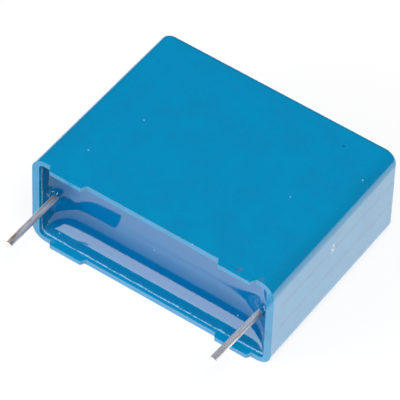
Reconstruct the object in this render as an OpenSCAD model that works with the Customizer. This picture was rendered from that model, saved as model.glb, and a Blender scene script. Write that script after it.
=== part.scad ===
// Box film capacitor: a drafted, moulded case with standoff feet, filled with resin around a
// flattened film winding whose metal-sprayed ends carry the two wire leads.
// It lies on a large face. X is the width, Y runs from the lead tips (-) to the closed end (+)
// and Z is the thickness. The origin is below the middle of the lying case. Millimetres.

/* [Case] */
// Width of the case over its end walls, at the rim
case_w = 32; // [24:0.5:42]
// Thickness of the case over its large walls, at the rim
case_t = 13; // [10:0.5:15]
// Height of the case from its rim to its closed end
case_h = 24.4; // [20:0.2:34]
// Draft of every wall, in degrees
draft = 0.5; // [0.1:0.1:1]
// Thickness of the two end walls
end_wall = 0.95; // [0.6:0.05:1.5]
// Thickness of the two large walls
side_wall = 0.75; // [0.5:0.05:1.2]
// Thickness of the closed end
floor_wall = 1; // [0.6:0.1:2]
// Radius of the four long edges of the case, at its closed end
corner_r = 1.7; // [1.3:0.1:2.6]
// Radius of the edge all round the closed end
edge_r = 0.8; // [0.2:0.1:1.2]
// Radius of the four long edges of the cavity, at its floor
cavity_corner_r = 0.45; // [0.4:0.05:0.8]
// Radius of the edge all round the cavity's floor
cavity_edge_r = 0.3; // [0.1:0.05:0.35]

/* [Standoff feet] */
// Height of each foot above the rim
foot_h = 0.6; // [0.3:0.1:1.5]
// Length of each foot along the rim, at its root
foot_len = 4.85; // [3:0.05:6]
// Distance from the outside of the end wall to the nearest foot
foot_end_gap = 2.45; // [2:0.05:4]
// How much each end of a foot slopes in over its height
foot_slope = 0.35; // [0:0.05:0.8]
// Step from the outside of the large wall in to the foot
foot_step = 0.15; // [0.05:0.05:0.3]

/* [Resin] */
// Depth of the resin's hollow surface below the rim, at its lowest
resin_depth = 2.8; // [2.6:0.1:3.6]
// How far the resin climbs the walls above that
wall_climb = 2.4; // [1.4:0.1:2.5]
// Radius of the hollow curve along the walls
wall_curve_r = 3.2; // [2.8:0.1:4]
// Radius, seen from the open side, at which that curve turns each corner
corner_turn_r = 1.2; // [0.8:0.1:2]
// Depth below the rim that the resin reaches up in the four corners
corner_creep = 0.25; // [0.1:0.05:0.6]
// How far the resin climbs each lead
lead_climb = 0.7; // [0.3:0.05:0.75]
// Radius of the hollow curve round each lead, where the end wall leaves room for it
lead_curve_r = 0.8; // [0.8:0.1:1.2]

/* [Winding] */
// Depth of resin over the winding
winding_cover = 0.8; // [0.6:0.1:2]
// Resin between the winding and each large wall, at the closed end
winding_side_gap = 0.55; // [0.3:0.05:1.5]
// Resin between the winding and the closed end
winding_end_gap = 1; // [0.4:0.1:2]
// Thickness of the sprayed metal on each end of the winding
spray_t = 0.45; // [0.2:0.05:0.8]
// How far the sprayed metal stays in from the winding's outline
spray_margin = 0.15; // [0.05:0.05:0.5]

/* [Leads] */
// Diameter of the lead wire
lead_d = 0.8; // [0.6:0.05:1]
// Gap between each wire and the end wall, at the weld
lead_wall_gap = 0.9; // [0.85:0.05:3]
// Gap between the round wire and the face that its flattened end is welded to
weld_step = 0.05; // [0.05:0.05:0.2]
// Free length of the leads below the feet
lead_len = 6.7; // [3:0.1:30]
// Length of the flattened end that is welded to the sprayed metal
weld_len = 8; // [3:0.5:12]
// Thickness of the flattened end
weld_t = 0.45; // [0.3:0.05:0.5]
// Wire between the top of the resin's collar and the bend
bend_gap = 1.5; // [0.2:0.05:1.6]
// Lean of the left lead's root towards the middle, in degrees
left_root_lean = -0.8; // [-3:0.1:6]
// Lean of the left lead's free end towards the middle, in degrees
left_lean = 0; // [-3:0.1:6]
// Lean of the right lead's root towards the middle, in degrees
right_root_lean = 3.9; // [-3:0.1:6]
// Lean of the right lead's free end towards the middle, in degrees
right_lean = 2.1; // [-3:0.1:6]

/* [Hidden] */
$fn = 64;
fine = 0.3;              // overlap of solids that are joined or cut
mid_z = case_t/2;        // height of the case's middle plane, and of both leads
rim_y = -case_h/2;       // place of the rim
cavity_depth = case_h - floor_wall;
lead_r = lead_d/2;
lead_pitch = case_w - 2*(end_wall + lead_wall_gap + lead_r);

// resin surface
contact_depth = resin_depth - wall_climb;
wall_reach = hollow_reach(wall_curve_r, wall_climb);
dish_top = corner_creep/2;

// winding: a stadium as seen along X, flats against the large walls
winding_top = resin_depth + winding_cover;
winding_h = cavity_depth - winding_end_gap - winding_top;
winding_t = case_t - 2*(side_wall + cavity_depth*tan(draft) + winding_side_gap);
winding_len = lead_pitch - lead_d - 2*(weld_step + spray_t);

// leads: the wire is pressed flat at its root, with its section area kept
weld_w = weld_t + PI*(lead_r*lead_r - weld_t*weld_t/4)/weld_t;
weld_top = winding_top + spray_margin - lead_r;
bend_depth = resin_depth - lead_climb - bend_gap;
tip_depth = -foot_h - lead_len;
elbow_swell = 0.01;      // the wire swells a little where it is bent
elbow_r = lead_r + elbow_swell;

// resin collar round each lead: it stays clear of the end wall, also where a root leans outwards
collar_margin = 0.02;    // least room between a collar and that wall
collar_sink = 0.03;      // how far a collar's foot lies below the resin's surface
outward_lean = max(0, -left_root_lean, -right_root_lean);
collar_lean = (weld_top - resin_depth)*tan(outward_lean);
collar_room = lead_wall_gap - resin_depth*tan(draft) - collar_lean - collar_margin;
collar_curve_r = min(lead_curve_r, (collar_room*collar_room + lead_climb*lead_climb)/(2*lead_climb));
collar_reach = hollow_reach(collar_curve_r, lead_climb);

case_blue = [0.02, 0.50, 0.70];
resin_blue = [0.20, 0.46, 0.74];
film_tone = [0.80, 0.80, 0.78];
spray_grey = [0.55, 0.55, 0.57];
tin_grey = [0.66, 0.66, 0.67];

// How far out from a wall the hollow curve meets the flat.
function hollow_reach(r, climb) = sqrt(r*r - (r - climb)*(r - climb));

// From a frame with depth along Y below the rim, and the middle plane at Z 0, to the part's own.
module from_rim() {
    translate([0, rim_y, mid_z]) children();
}

// A length rounded to a tenth of a micron, so that faces that meet share their numbers.
function snap(v) = round(v*10000)/10000;

// Outline of one drafted wall (X out from the middle, Y down from the rim), from X 0 to the wall,
// with a rounded far edge.
module wall_outline(half, depth, taper, round_r) {
    turn_y = depth - round_r;
    turn_x = half - snap(turn_y*tan(taper)) - round_r;
    polygon([[0, 0], [half, 0], [turn_x + round_r, turn_y], [turn_x, turn_y], [turn_x, depth], [0, depth]]);
    translate([turn_x, turn_y]) intersection() {
        circle(r = round_r);
        square(2*round_r);
    }
}

// A slab that spans the block between two of its walls.
module slab(half, thick, depth, taper, round_r) {
    linear_extrude(thick, center = true)
        for (side = [0, 1]) mirror([side, 0]) wall_outline(half, depth, taper, round_r);
}

// A box with its large end at Y 0, whose four walls are drafted and whose far edges are rounded.
// far_r is the radius of its long edges at the far end.
module drafted_block(w, t, depth, taper, far_r, round_r) {
    post_r = far_r + snap(depth*tan(taper));
    slab(w/2, t - 2*post_r, depth, taper, round_r);
    rotate([0, -90, 0]) slab(t/2, w - 2*post_r, depth, taper, round_r);
    for (x = [-1, 1], z = [-1, 1])
        translate([x*(w/2 - post_r), 0, z*(t/2 - post_r)])
            rotate([-90, 0, 0]) rotate_extrude() wall_outline(post_r, depth, taper, round_r);
}

// The space inside the case, from just above the rim.
module cavity() {
    translate([0, -fine, 0])
        drafted_block(case_w - 2*end_wall, case_t - 2*side_wall, cavity_depth + fine, draft,
            cavity_corner_r, cavity_edge_r);
}

// One foot on the rim of the large wall on the +Z side.
module foot(x) {
    root = foot_len/2;
    tip = root - foot_slope;
    translate([x, 0, case_t/2 - side_wall])
        linear_extrude(side_wall - foot_step)
            polygon([[-root, fine], [root, fine], [root, 0], [tip, -foot_h], [-tip, -foot_h], [-root, 0]]);
}

module case() {
    foot_x = case_w/2 - foot_end_gap - foot_len/2;
    color(case_blue) from_rim() {
        difference() {
            drafted_block(case_w, case_t, case_h, draft, corner_r, edge_r);
            cavity();
        }
        for (x = [-foot_x, foot_x], side = [0, 1]) mirror([0, 0, side]) foot(x);
    }
}

// Outline of the air above the resin (X out from the middle), whose edge is the hollow curve.
module dish_outline(half) {
    turn_x = half - wall_curve_r;
    turn_y = resin_depth - wall_curve_r;
    intersection() {
        union() {
            if (turn_x > 0) square([turn_x, resin_depth]);
            if (turn_y > dish_top) square([half, turn_y]);
            translate([turn_x, turn_y]) circle(r = wall_curve_r);
        }
        translate([0, dish_top]) square([half, resin_depth - dish_top + fine]);
    }
}

// A slab of that air between two of the walls.
module dish_slab(half, thick) {
    linear_extrude(thick, center = true)
        for (side = [0, 1]) mirror([side, 0]) dish_outline(half);
}

// The air above the resin. The curves along the walls meet in mitres, turned round at the corners.
module dish() {
    spread = snap(wall_curve_r - wall_reach - contact_depth*tan(draft));
    half_w = case_w/2 - end_wall + spread;
    half_t = case_t/2 - side_wall + spread;
    post_r = corner_turn_r + snap(wall_curve_r - wall_reach);
    difference() {
        intersection() {
            dish_slab(half_w, 2*half_t);
            rotate([0, -90, 0]) dish_slab(half_t, 2*half_w);
        }
        for (x = [-1, 1], z = [-1, 1])
            translate([x*half_w, resin_depth/2, z*half_t])
                cube([2*post_r, 2*resin_depth, 2*post_r], center = true);
    }
    for (x = [-1, 1], z = [-1, 1])
        translate([x*(half_w - post_r), 0, z*(half_t - post_r)])
            rotate([-90, 0, 0]) rotate_extrude() dish_outline(post_r);
}

// The collar of resin that climbs a lead, along its leaning root.
module lead_collar() {
    rotate([90, 0, 0]) rotate_extrude()
        difference() {
            translate([0, -fine]) square([lead_r + collar_reach, lead_climb + fine]);
            translate([lead_r + collar_reach, collar_curve_r - collar_sink]) circle(r = collar_curve_r);
        }
}

module resin() {
    color(resin_blue) difference() {
        from_rim() {
            difference() {
                cavity();
                translate([0, corner_creep - case_w/2, 0]) cube(case_w, center = true);
                dish();
            }
            at_root(0, left_root_lean, resin_depth) lead_collar();
            at_root(1, right_root_lean, resin_depth) lead_collar();
        }
        winding();
        end_spray_left();
        end_spray_right();
        lead_left();
        lead_right();
    }
}

// The section of the pressed roll, drawn in by a margin.
module roll_section(margin) {
    r = winding_t/2;
    straight = winding_h - winding_t;
    translate([-r + margin, -straight/2]) square([winding_t - 2*margin, straight]);
    for (y = [-1, 1]) translate([0, y*straight/2]) circle(r = r - margin);
}

// A length of that section along X, starting at a given place.
module roll_slice(x, len, margin) {
    from_rim() translate([x, winding_top + winding_h/2, 0])
        rotate([0, 90, 0]) linear_extrude(len) roll_section(margin);
}

module winding() {
    color(film_tone) roll_slice(-winding_len/2, winding_len, 0);
}

module end_spray_left() {
    color(spray_grey) roll_slice(-winding_len/2 - spray_t, spray_t, spray_margin);
}

module end_spray_right() {
    color(spray_grey) roll_slice(winding_len/2, spray_t, spray_margin);
}

// From a lead's root, with the wire running along -Y, to a given depth on its leaning line.
// side is 0 for the left lead and 1 for the right one, and lean is towards the middle.
module at_root(side, lean, depth = weld_top) {
    mirror([1 - side, 0, 0]) translate([lead_pitch/2, weld_top, 0])
        rotate([0, 0, -lean]) translate([0, (depth - weld_top)/cos(lean), 0]) children();
}

// A straight run of wire along -Y.
module wire(len) {
    rotate([90, 0, 0]) cylinder(h = len, r = lead_r);
}

// The wire's pressed end: a flat strip with round edges.
module weld_section() {
    flat = weld_w - weld_t;
    square([weld_t, flat], center = true);
    for (z = [-1, 1]) translate([0, z*flat/2]) circle(r = weld_t/2);
}

// A wire that leaves its weld at one lean and is bent to another just above the resin.
module lead(side, root_lean, lean) {
    root_run = (weld_top - bend_depth)/cos(root_lean);
    difference() {
        at_root(side, root_lean) translate([0, fine, 0]) wire(root_run + fine);
        translate([0, weld_top + case_h/2, 0]) cube([case_w, case_h, case_t], center = true);
    }
    at_root(side, root_lean, bend_depth) {
        sphere(r = elbow_r);
        rotate([0, 0, root_lean - lean]) wire((bend_depth - tip_depth)/cos(lean));
    }
    mirror([1 - side, 0, 0])
        translate([lead_pitch/2 - lead_r - weld_step + weld_t/2, weld_top, 0])
            rotate([-90, 0, 0]) linear_extrude(weld_len) weld_section();
}

module lead_left() {
    color(tin_grey) from_rim() lead(0, left_root_lean, left_lean);
}

module lead_right() {
    color(tin_grey) from_rim() lead(1, right_root_lean, right_lean);
}

case();
resin();
winding();
end_spray_left();
end_spray_right();
lead_left();
lead_right();
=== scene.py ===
import math

import bmesh
import bpy
import numpy as np
from mathutils import Matrix, Vector


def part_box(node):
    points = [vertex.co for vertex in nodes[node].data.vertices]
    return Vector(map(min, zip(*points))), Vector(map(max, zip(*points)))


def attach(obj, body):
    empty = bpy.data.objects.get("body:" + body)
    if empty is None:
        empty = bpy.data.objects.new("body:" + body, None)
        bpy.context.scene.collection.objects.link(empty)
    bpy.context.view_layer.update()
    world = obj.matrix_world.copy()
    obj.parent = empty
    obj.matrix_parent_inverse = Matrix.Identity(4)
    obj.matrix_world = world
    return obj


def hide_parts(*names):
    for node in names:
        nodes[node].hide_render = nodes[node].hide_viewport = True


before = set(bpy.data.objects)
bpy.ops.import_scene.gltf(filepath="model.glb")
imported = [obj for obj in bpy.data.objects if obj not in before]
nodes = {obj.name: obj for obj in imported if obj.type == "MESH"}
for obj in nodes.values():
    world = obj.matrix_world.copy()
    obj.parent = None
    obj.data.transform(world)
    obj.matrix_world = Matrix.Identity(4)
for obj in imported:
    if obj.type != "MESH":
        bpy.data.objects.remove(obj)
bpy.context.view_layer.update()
mm = 0.001
print("frame loaded:", ", ".join(sorted(nodes)))


def newMaterial(name):
    mat = bpy.data.materials.new(name)
    mat.use_nodes = True
    tree = mat.node_tree
    shader = tree.nodes["Principled BSDF"]
    return mat, tree, shader


def addNode(tree, kind, settings=None, **inputs):
    # each input is given by its name, or by its number as i0, i1 ..., and is a socket or a value
    node = tree.nodes.new(kind)
    for key, value in (settings or {}).items():
        setattr(node, key, value)
    for key, value in inputs.items():
        numbered = key[0] == "i" and key[1:].isdigit()
        socket = node.inputs[int(key[1:])] if numbered else node.inputs[key.replace("_", " ")]
        if isinstance(value, bpy.types.NodeSocket):
            tree.links.new(value, socket)
        else:
            socket.default_value = value
    return node


def places(tree, stretch=(1, 1, 1)):
    # the surface's own coordinates in mm, stretched along any axis
    coords = addNode(tree, "ShaderNodeTexCoord").outputs["Object"]
    scale = tuple(1000 * part for part in stretch)
    return addNode(tree, "ShaderNodeVectorMath", {"operation": "MULTIPLY"}, i0=coords, i1=scale).outputs[0]


def noise(tree, where, scale, detail=3.0, roughness=0.55):
    return addNode(tree, "ShaderNodeTexNoise", None, Vector=where, Scale=scale, Detail=detail,
                   Roughness=roughness).outputs[0]


def ramp(tree, value, start, end, first=0.0, last=1.0):
    node = addNode(tree, "ShaderNodeMapRange", {"interpolation_type": "SMOOTHSTEP"}, Value=value,
                   From_Min=start, From_Max=end, To_Min=first, To_Max=last)
    return node.outputs["Result"]


def sums(tree, operation, a, b=0.0):
    return addNode(tree, "ShaderNodeMath", {"operation": operation}, i0=a, i1=b).outputs[0]


def blend(tree, share, a, b):
    return addNode(tree, "ShaderNodeMix", {"data_type": "RGBA"}, i0=share, i6=a, i7=b).outputs[2]


def spot(tree, where, centre, radius, soft=0.3):
    # 1 inside a round mark and 0 outside it
    away = addNode(tree, "ShaderNodeVectorMath", {"operation": "DISTANCE"}, i0=where, i1=centre)
    return ramp(tree, away.outputs["Value"], radius * (1 + soft), radius * (1 - soft))


def specks(tree, where, scale, size, share):
    # scattered round specks: size is part of a cell, share is how many cells hold one
    cells = addNode(tree, "ShaderNodeTexVoronoi", {"feature": "F1"}, Vector=where, Scale=scale)
    dot = ramp(tree, cells.outputs["Distance"], size, size * 0.5)
    pick = addNode(tree, "ShaderNodeSeparateColor", None, Color=cells.outputs["Color"]).outputs[0]
    return sums(tree, "MULTIPLY", dot, sums(tree, "LESS_THAN", pick, share))


def axes(tree, where):
    split = addNode(tree, "ShaderNodeSeparateXYZ", None, Vector=where)
    return split.outputs[0], split.outputs[1], split.outputs[2]


def bumps(tree, shader, height, depth, strength=1.0):
    bump = addNode(tree, "ShaderNodeBump", None, Height=height, Distance=depth, Strength=strength)
    tree.links.new(bump.outputs[0], shader.inputs["Normal"])


def srgb(r, g, b):
    # a colour written as 0-255 screen values, turned to the linear values that nodes hold
    def linear(v):
        v /= 255
        return v / 12.92 if v <= 0.04045 else ((v + 0.055) / 1.055) ** 2.4
    return (linear(r), linear(g), linear(b), 1)


def setFinish(node, mat):
    for part in nodes[node].material_slots or [None]:
        if part is None:
            nodes[node].data.materials.append(mat)
        else:
            part.material = mat


casePlastic = {
    "colour": srgb(0, 126, 172), "shade": srgb(0, 121, 167), "roughness": (0.12, 0.17), "ior": 1.55,
    "grain": 9.0, "grainDepth": 0.0000035,      # the moulded surface's texture, per mm and in metres
    "grainColour": srgb(40, 160, 200),
    "mould": (8.7, 5.4), "mouldColour": srgb(0, 92, 130),   # faint lines left on the end faces
    "mouldFrom": (15.4, -10.5),                 # they show past the first in X and past the second in Y
    "scuff": (16.0, -0.75, 8.8), "scuffRadius": 0.5, "scuffStretch": (1, 1.7, 0.7),
    "scuffColour": srgb(225, 240, 245),
    "speck": (10.3, 9.3, 13.0), "speckRadius": 0.22, "speckColour": srgb(10, 62, 92),
    "stain": ((14.1, -11.9, 12.9), (11.4, -12.1, 12.9)), "stainRadius": 0.26,
    "stainColour": srgb(96, 84, 108), "dustColour": srgb(190, 222, 232),
}


def makeCase():
    mat, tree, shader = newMaterial("casePlastic")
    look = casePlastic
    where = places(tree)
    x, y, z = axes(tree, where)
    cloud = ramp(tree, noise(tree, where, 0.35, 4), 0.35, 0.68)
    fine = noise(tree, where, look["grain"], 2)
    colour = blend(tree, cloud, look["colour"], look["shade"])
    colour = blend(tree, ramp(tree, fine, 0.35, 0.75, 0, 0.12), colour, look["grainColour"])
    # mould lines on both end faces
    outward, inward = look["mouldFrom"]
    atEnd = sums(tree, "MULTIPLY", sums(tree, "GREATER_THAN", sums(tree, "ABSOLUTE", x), outward),
                 sums(tree, "GREATER_THAN", y, inward))
    for height in look["mould"]:
        line = ramp(tree, sums(tree, "ABSOLUTE", sums(tree, "SUBTRACT", z, height)), 0.28, 0.05)
        line = sums(tree, "MULTIPLY", sums(tree, "MULTIPLY", line, atEnd), 0.5)
        colour = blend(tree, line, colour, look["mouldColour"])
    # a scuff, a dark speck, two reddish marks and some dust
    ragged = ramp(tree, noise(tree, where, 3.2, 4), 0.42, 0.52)
    wide = places(tree, look["scuffStretch"])
    mark = tuple(c * k for c, k in zip(look["scuff"], look["scuffStretch"]))
    scuff = sums(tree, "MULTIPLY", spot(tree, wide, mark, look["scuffRadius"], 0.5), ragged)
    colour = blend(tree, sums(tree, "MULTIPLY", scuff, 0.75), colour, look["scuffColour"])
    speck = spot(tree, where, look["speck"], look["speckRadius"])
    colour = blend(tree, speck, colour, look["speckColour"])
    for place in look["stain"]:
        stain = sums(tree, "MULTIPLY", spot(tree, where, place, look["stainRadius"], 0.7), 0.4)
        colour = blend(tree, stain, colour, look["stainColour"])
    dust = sums(tree, "MULTIPLY", specks(tree, where, 0.42, 0.05, 0.25), 0.45)
    colour = blend(tree, dust, colour, look["dustColour"])
    tree.links.new(colour, shader.inputs["Base Color"])
    low, high = look["roughness"]
    rough = sums(tree, "ADD", ramp(tree, cloud, 0, 1, low, high), sums(tree, "MULTIPLY", scuff, 0.4))
    tree.links.new(rough, shader.inputs["Roughness"])
    shader.inputs["IOR"].default_value = look["ior"]
    relief = sums(tree, "ADD", fine, sums(tree, "MULTIPLY", scuff, 2.0))
    bumps(tree, shader, relief, look["grainDepth"])
    setFinish("case", mat)


# the case's opening at the rim, in mm: half width, lower and upper face, the rim's place, corner radius
opening = {"half": 15.05, "low": 0.75, "high": 12.25, "rim": -12.2, "corner": 0.65}

resinLook = {
    # the first colour is painted shade: darker resin near the lower wall
    "paintedWallShade": srgb(0, 87, 140), "open": srgb(0, 103, 160), "film": srgb(0, 105, 150),
    # the next colour is a painted highlight along the film's edge
    "edge": srgb(130, 182, 215), "roughness": 0.05, "ior": 1.43,
    "highlightLine": 0.43,        # depth of the painted highlight line where the film ends, in mm below the rim
    "cloud": srgb(0, 96, 150), "blotch": srgb(10, 92, 140), "dust": srgb(170, 205, 225),
    "skinDepth": 0.00003,    # height of the film's mottling, in metres
}


def finishResin(mesh):
    mat, tree, shader = newMaterial("fillResin")
    look = resinLook
    where = places(tree)
    x, y, z = axes(tree, where)
    depth = sums(tree, "ADD", y, -opening["rim"])
    # painted shade: the resin's colour turns darker towards the lower wall, standing in for the shaded wall
    # seen in its gloss
    colour = blend(tree, ramp(tree, z, 2.0, 5.5), look["paintedWallShade"], look["open"])
    cloud = noise(tree, where, 0.5, 4)
    colour = blend(tree, ramp(tree, cloud, 0.3, 0.7, 0, 0.25), colour, look["cloud"])
    # the thin film on the walls lets the case's colour through, and is mottled
    mottle = noise(tree, places(tree, (0.8, 1.0, 1.0)), 4.5, 4, 0.7)
    film = ramp(tree, depth, 1.6, 1.25)
    colour = blend(tree, film, colour, look["film"])
    blotch = sums(tree, "MULTIPLY", film, ramp(tree, mottle, 0.42, 0.62, 0, 0.55))
    colour = blend(tree, blotch, colour, look["blotch"])
    # its pale, wavy edge line: a painted highlight where the film ends
    wave = sums(tree, "MULTIPLY", sums(tree, "SUBTRACT", noise(tree, where, 0.9, 4), 0.5), 0.35)
    off = sums(tree, "ABSOLUTE", sums(tree, "SUBTRACT", sums(tree, "ADD", depth, wave), look["highlightLine"]))
    edgeHighlight = sums(tree, "MULTIPLY", ramp(tree, off, 0.13, 0.03), ramp(tree, mottle, 0.36, 0.56))
    colour = blend(tree, sums(tree, "MULTIPLY", edgeHighlight, 0.85), colour, look["edge"])
    dust = sums(tree, "MULTIPLY", specks(tree, where, 0.6, 0.06, 0.25), 0.55)
    colour = blend(tree, dust, colour, look["dust"])
    tree.links.new(colour, shader.inputs["Base Color"])
    rough = sums(tree, "ADD", look["roughness"], ramp(tree, depth, 1.1, 0.7, 0.0, 0.15))
    tree.links.new(rough, shader.inputs["Roughness"])
    shader.inputs["IOR"].default_value = look["ior"]
    skin = sums(tree, "MULTIPLY", mottle, ramp(tree, depth, 1.3, 0.8, 0.02, 1.0))
    bumps(tree, shader, skin, look["skinDepth"])
    mesh.materials.append(mat)


resinPour = {
    "deepest": 3.06,        # depth of the pool below the rim if nothing lifted it, in mm
    # how each wall and lead lifts the resin: a steep climb and its reach, then a long one,
    # its reach and how suddenly it ends
    "lower": (1.23, 0.35, 1.6, 2.11, 2.0),
    "upper": (1.2, 0.3, 0.68, 5.5, 1.6),
    "left": (1.3, 0.22, 1.5, 1.9, 1.4),
    "right": (0.8, 0.2, 2.0, 1.6, 1.15),
    "lead": (0.7, 0.25, 0.42, 1.4, 1.0),
    "leadAcross": (-13.775, 13.665), "leadUp": 6.5, "wireRadius": 0.4,
    "cornerBlend": 2.6,
    "wallEdge": 0.39, "edgeTurn": 12,       # where the resin ends on the walls, and how sharply it turns
    "gap": 0.01,                            # left between the resin and the walls
    # the sides below the skin: depth below the rim, and how far in from the opening
    "sides": ((4.0, 0.035), (22.9, 0.2), (23.15, 0.35), (23.35, 0.6)),
    "columns": 300, "rows": 150, "crowding": 0.75,
}


def resinDepth(x, z):
    # depth below the rim of the resin's skin, in mm
    pour = resinPour
    half, low, high = opening["half"], opening["low"], opening["high"]

    def raised(by, away):
        climb, reach, longClimb, longReach, sudden = pour[by]
        away = np.maximum(away, 0)
        return climb * np.exp(-away / reach) + longClimb * np.exp(-(away / longReach) ** sudden)

    across = raised("lower", z - low) + raised("upper", high - z)
    along = raised("left", x + half) + raised("right", half - x)
    power = pour["cornerBlend"]
    depth = pour["deepest"] - (across ** power + along ** power) ** (1 / power)
    for leadX in pour["leadAcross"]:
        depth = depth - raised("lead", np.hypot(x - leadX, z - pour["leadUp"]) - pour["wireRadius"])
    edge, turn = pour["wallEdge"], pour["edgeTurn"]
    return edge + np.log1p(np.exp((depth - edge) * turn)) / turn


def crowded(count, low, high):
    # places from low to high that lie closer together towards both ends
    t = np.linspace(-1, 1, count)
    t = t * (1 - resinPour["crowding"]) + np.sin(t * math.pi / 2) * resinPour["crowding"]
    return (low + high) / 2 + (high - low) / 2 * t


def roundCorners(x, z, half, low, high, radius):
    # pulls the grid's square corners in to the cavity's round ones
    cx, cz = half - radius, (high - low) / 2 - radius
    mid = (low + high) / 2
    a = np.clip((np.abs(x) - cx) / radius, 0, 1)
    b = np.clip((np.abs(z - mid) - cz) / radius, 0, 1)
    corner = (a > 0) & (b > 0)
    newX = np.where(corner, np.sign(x) * (cx + radius * a * np.sqrt(1 - b * b / 2)), x)
    newZ = np.where(corner, mid + np.sign(z - mid) * (cz + radius * b * np.sqrt(1 - a * a / 2)), z)
    return newX, newZ


def makeResin():
    half, low, high = opening["half"], opening["low"], opening["high"]
    gap, rim = resinPour["gap"], opening["rim"]
    cols, rows = resinPour["columns"], resinPour["rows"]
    x, z = np.meshgrid(crowded(cols, -half + gap, half - gap), crowded(rows, low + gap, high - gap))
    x, z = roundCorners(x, z, half - gap, low + gap, high - gap, opening["corner"])
    verts = np.stack([x, rim + resinDepth(x, z), z], -1).reshape(-1, 3)
    index = np.arange(rows * cols).reshape(rows, cols)
    squares = np.stack([index[:-1, :-1], index[:-1, 1:], index[1:, 1:], index[1:, :-1]], -1)
    faces = squares.reshape(-1, 4).tolist()
    loop = list(index[0, :]) + list(index[1:, -1]) + list(index[-1, -2::-1]) + list(index[-2:0:-1, 0])
    verts = list(map(tuple, verts))
    ring = loop
    mid = (low + high) / 2
    for level, shrink in resinPour["sides"]:
        start = len(verts)
        for i in loop:
            px, _, pz = verts[i]
            inZ = mid + (pz - mid) * (1 - shrink / (high - mid))
            verts.append((px * (1 - shrink / half), rim + level, inZ))
        fresh = list(range(start, start + len(loop)))
        for i in range(len(loop)):
            j = (i + 1) % len(loop)
            faces.append([ring[j], ring[i], fresh[i], fresh[j]])
        ring = fresh
    faces.append(ring[::-1])
    mesh = bpy.data.meshes.new("resin_fill")
    mesh.from_pydata([tuple(c * mm for c in v) for v in verts], [], faces)
    mesh.polygons.foreach_set("use_smooth", [True] * len(mesh.polygons))
    bm = bmesh.new()
    bm.from_mesh(mesh)
    bmesh.ops.recalc_face_normals(bm, faces=bm.faces)
    bm.to_mesh(mesh)
    bm.free()
    fill = bpy.data.objects.new("resin_fill", mesh)
    bpy.context.scene.collection.objects.link(fill)
    finishResin(mesh)
    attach(fill, "root")
    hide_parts("resin")


leadLook = {
    "tin": srgb(206, 206, 210), "dull": srgb(150, 152, 160), "brown": srgb(150, 112, 96),
    "copper": srgb(238, 214, 208), "roughness": (0.3, 0.45), "metallic": 0.5,
    "tipAt": -19.49,         # where the cut end starts, in mm
    "drawDepth": 0.00001,    # depth of the marks left by drawing the wire, in metres
}


def makeLeads():
    mat, tree, shader = newMaterial("leadWire")
    look = leadLook
    where = places(tree)
    drawn = places(tree, (1, 0.08, 1))      # stretched along the wire, as it was drawn
    x, y, z = axes(tree, where)
    streak = noise(tree, drawn, 4.0, 5, 0.65)
    colour = blend(tree, ramp(tree, streak, 0.35, 0.65), look["tin"], look["dull"])
    worn = noise(tree, places(tree, (1, 0.25, 1)), 1.6, 4, 0.7)
    colour = blend(tree, ramp(tree, worn, 0.5, 0.66, 0, 0.8), colour, look["brown"])
    tip = sums(tree, "LESS_THAN", y, look["tipAt"])
    colour = blend(tree, tip, colour, look["copper"])
    tree.links.new(colour, shader.inputs["Base Color"])
    low, high = look["roughness"]
    tree.links.new(ramp(tree, streak, 0.3, 0.7, low, high), shader.inputs["Roughness"])
    shader.inputs["Metallic"].default_value = look["metallic"]
    bumps(tree, shader, streak, look["drawDepth"])
    setFinish("lead_left", mat)
    setFinish("lead_right", mat)


coreLook = {
    "film": srgb(196, 198, 200), "edge": srgb(150, 152, 156), "ringScale": 2.2,
    "spray": srgb(150, 150, 154), "sprayDark": srgb(96, 96, 100), "grainDepth": 0.00006,
}


def makeCore():
    # the wound film, with its layers showing as fine rings, and the grainy sprayed metal on its ends
    mat, tree, shader = newMaterial("woundFilm")
    rings = addNode(tree, "ShaderNodeTexWave", {"bands_direction": "Z"}, Vector=places(tree),
                    Scale=coreLook["ringScale"], Distortion=0.6, Detail=2.0).outputs[0]
    tree.links.new(blend(tree, rings, coreLook["film"], coreLook["edge"]), shader.inputs["Base Color"])
    shader.inputs["Roughness"].default_value = 0.3
    shader.inputs["Metallic"].default_value = 0.6
    setFinish("winding", mat)
    mat, tree, shader = newMaterial("sprayedMetal")
    grains = noise(tree, places(tree), 5.0, 5, 0.75)
    colour = blend(tree, grains, coreLook["spray"], coreLook["sprayDark"])
    tree.links.new(colour, shader.inputs["Base Color"])
    shader.inputs["Roughness"].default_value = 0.65
    shader.inputs["Metallic"].default_value = 0.8
    bumps(tree, shader, grains, coreLook["grainDepth"])
    setFinish("end_spray_left", mat)
    setFinish("end_spray_right", mat)


makeCase()
makeResin()
makeLeads()
makeCore()
print("finishes made")

studio = {
    "floorSize": 4.0,
    "floorShade": 0.85,          # how much light the floor gives back
    "shadowShare": 0.18,         # how strongly the object's shadow shows on the white floor
    "skyGlow": 0.38,             # soft light from all round
    "glossGlow": 0.02,           # how bright the surroundings look in a gloss
    "topLamp": {"place": (0.35, -0.25, 0.9), "size": 0.5, "power": 8.4},
    "frontLamp": {"place": (-0.386, -0.511, 0.283), "wide": 0.58, "tall": 0.29, "power": 3.8},
    "floorPool": (0.05, 0.04, 0.06, 0.14),   # centre of the lit floor, and where it starts and ends to fade
}


def mixed(tree, share, first, second):
    return addNode(tree, "ShaderNodeMixShader", None, i0=share, i1=first, i2=second).outputs[0]


def shinyRays(tree, path):
    # 1 for what is seen in a gloss or through something clear
    return sums(tree, "MAXIMUM", path.outputs["Is Glossy Ray"], path.outputs["Is Transmission Ray"])


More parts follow.
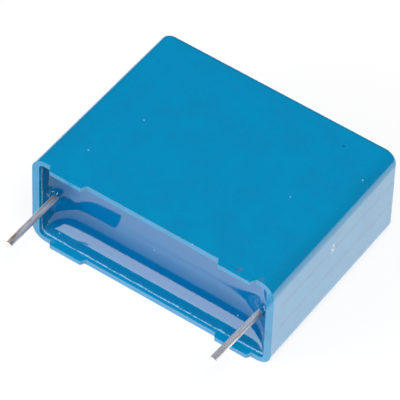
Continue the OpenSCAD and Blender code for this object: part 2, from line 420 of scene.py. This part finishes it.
def makeFloor():
    half = studio["floorSize"] / 2
    mesh = bpy.data.meshes.new("floor")
    corners = [(-half, -half, 0), (half, -half, 0), (half, half, 0), (-half, half, 0)]
    mesh.from_pydata(corners, [], [(0, 1, 2, 3)])
    floor = bpy.data.objects.new("floor", mesh)
    bpy.context.scene.collection.objects.link(floor)
    mat = bpy.data.materials.new("paleFloor")
    mat.use_nodes = True
    tree = mat.node_tree
    tree.nodes.clear()
    shade = studio["floorShade"]
    paper = addNode(tree, "ShaderNodeBsdfDiffuse", None, Color=(shade, shade, shade, 1)).outputs[0]
    glow = addNode(tree, "ShaderNodeEmission").outputs[0]
    path = addNode(tree, "ShaderNodeLightPath")
    # seen straight on: mostly plain white, with a share of the lit paper so that the shadow stays
    seen = mixed(tree, studio["shadowShare"], glow, paper)
    # seen in a gloss: the lit paper and its own white together, fading away from the pool's centre
    lit = addNode(tree, "ShaderNodeAddShader", None, i0=glow, i1=paper).outputs[0]
    where = addNode(tree, "ShaderNodeTexCoord").outputs["Object"]
    poolX, poolY, near, far = studio["floorPool"]
    away = addNode(tree, "ShaderNodeVectorMath", {"operation": "DISTANCE"}, i0=where, i1=(poolX, poolY, 0))
    fade = ramp(tree, away.outputs["Value"], near, far)
    dark = addNode(tree, "ShaderNodeEmission", None, Strength=0.0).outputs[0]
    mirrored = mixed(tree, fade, lit, dark)
    first = mixed(tree, shinyRays(tree, path), paper, mirrored)
    last = mixed(tree, path.outputs["Is Camera Ray"], first, seen)
    addNode(tree, "ShaderNodeOutputMaterial", None, Surface=last)
    mesh.materials.append(mat)


def makeWorld():
    world = bpy.data.worlds.new("studio")
    bpy.context.scene.world = world
    world.use_nodes = True
    tree = world.node_tree
    tree.nodes.clear()
    path = addNode(tree, "ShaderNodeLightPath")
    soft = addNode(tree, "ShaderNodeBackground", None, Strength=studio["skyGlow"]).outputs[0]
    faint = addNode(tree, "ShaderNodeBackground", None, Strength=studio["glossGlow"]).outputs[0]
    white = addNode(tree, "ShaderNodeBackground").outputs[0]
    first = mixed(tree, shinyRays(tree, path), soft, faint)
    last = mixed(tree, path.outputs["Is Camera Ray"], first, white)
    addNode(tree, "ShaderNodeOutputWorld", None, Surface=last)


def addLamp(name, place, wide, tall, power, aim):
    lamp = bpy.data.lights.new(name, "AREA")
    lamp.shape = "RECTANGLE"
    lamp.size, lamp.size_y = wide, tall
    lamp.energy = power
    stand = bpy.data.objects.new(name, lamp)
    bpy.context.scene.collection.objects.link(stand)
    stand.location = place
    stand.rotation_euler = (Vector(aim) - Vector(place)).to_track_quat("-Z", "Y").to_euler()


# angles in degrees, distance in metres, and how far the aim is moved off the case's centre
view = {
    "azimuth": 33.24, "elevation": 48.37, "roll": 2.27, "distance": 0.44643,
    "lens": 365.7, "aimRight": -1.706 * mm, "aimUp": -0.707 * mm,
}


def makeCamera():
    centre = Vector((0, 0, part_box("case")[1].z / 2))
    az, el, roll = (math.radians(view[k]) for k in ("azimuth", "elevation", "roll"))
    back = Vector((math.sin(az) * math.cos(el), -math.cos(az) * math.cos(el), math.sin(el)))
    place = centre + back * view["distance"]

    def turned(behind):
        level = Vector((0, 0, 1)).cross(behind).normalized()
        upright = behind.cross(level)
        right = level * math.cos(roll) + upright * math.sin(roll)
        return right, behind.cross(right)

    right, up = turned(back)
    aim = centre + right * view["aimRight"] + up * view["aimUp"]
    back = (place - aim).normalized()
    right, up = turned(back)
    cam = bpy.data.cameras.new("camera")
    cam.lens = view["lens"]
    cam.clip_start, cam.clip_end = 0.01, 10
    stand = bpy.data.objects.new("camera", cam)
    bpy.context.scene.collection.objects.link(stand)
    turn = Matrix((right, up, back)).transposed().to_4x4()
    stand.matrix_world = Matrix.Translation(place) @ turn
    bpy.context.scene.camera = stand


makeFloor()
makeWorld()
top, front = studio["topLamp"], studio["frontLamp"]
addLamp("topLamp", top["place"], top["size"], top["size"], top["power"], (0, 0, 0))
addLamp("frontLamp", front["place"], front["wide"], front["tall"], front["power"], (0, 0, 0.006))
makeCamera()
bpy.context.scene.view_settings.view_transform = "Standard"
print("studio ready")
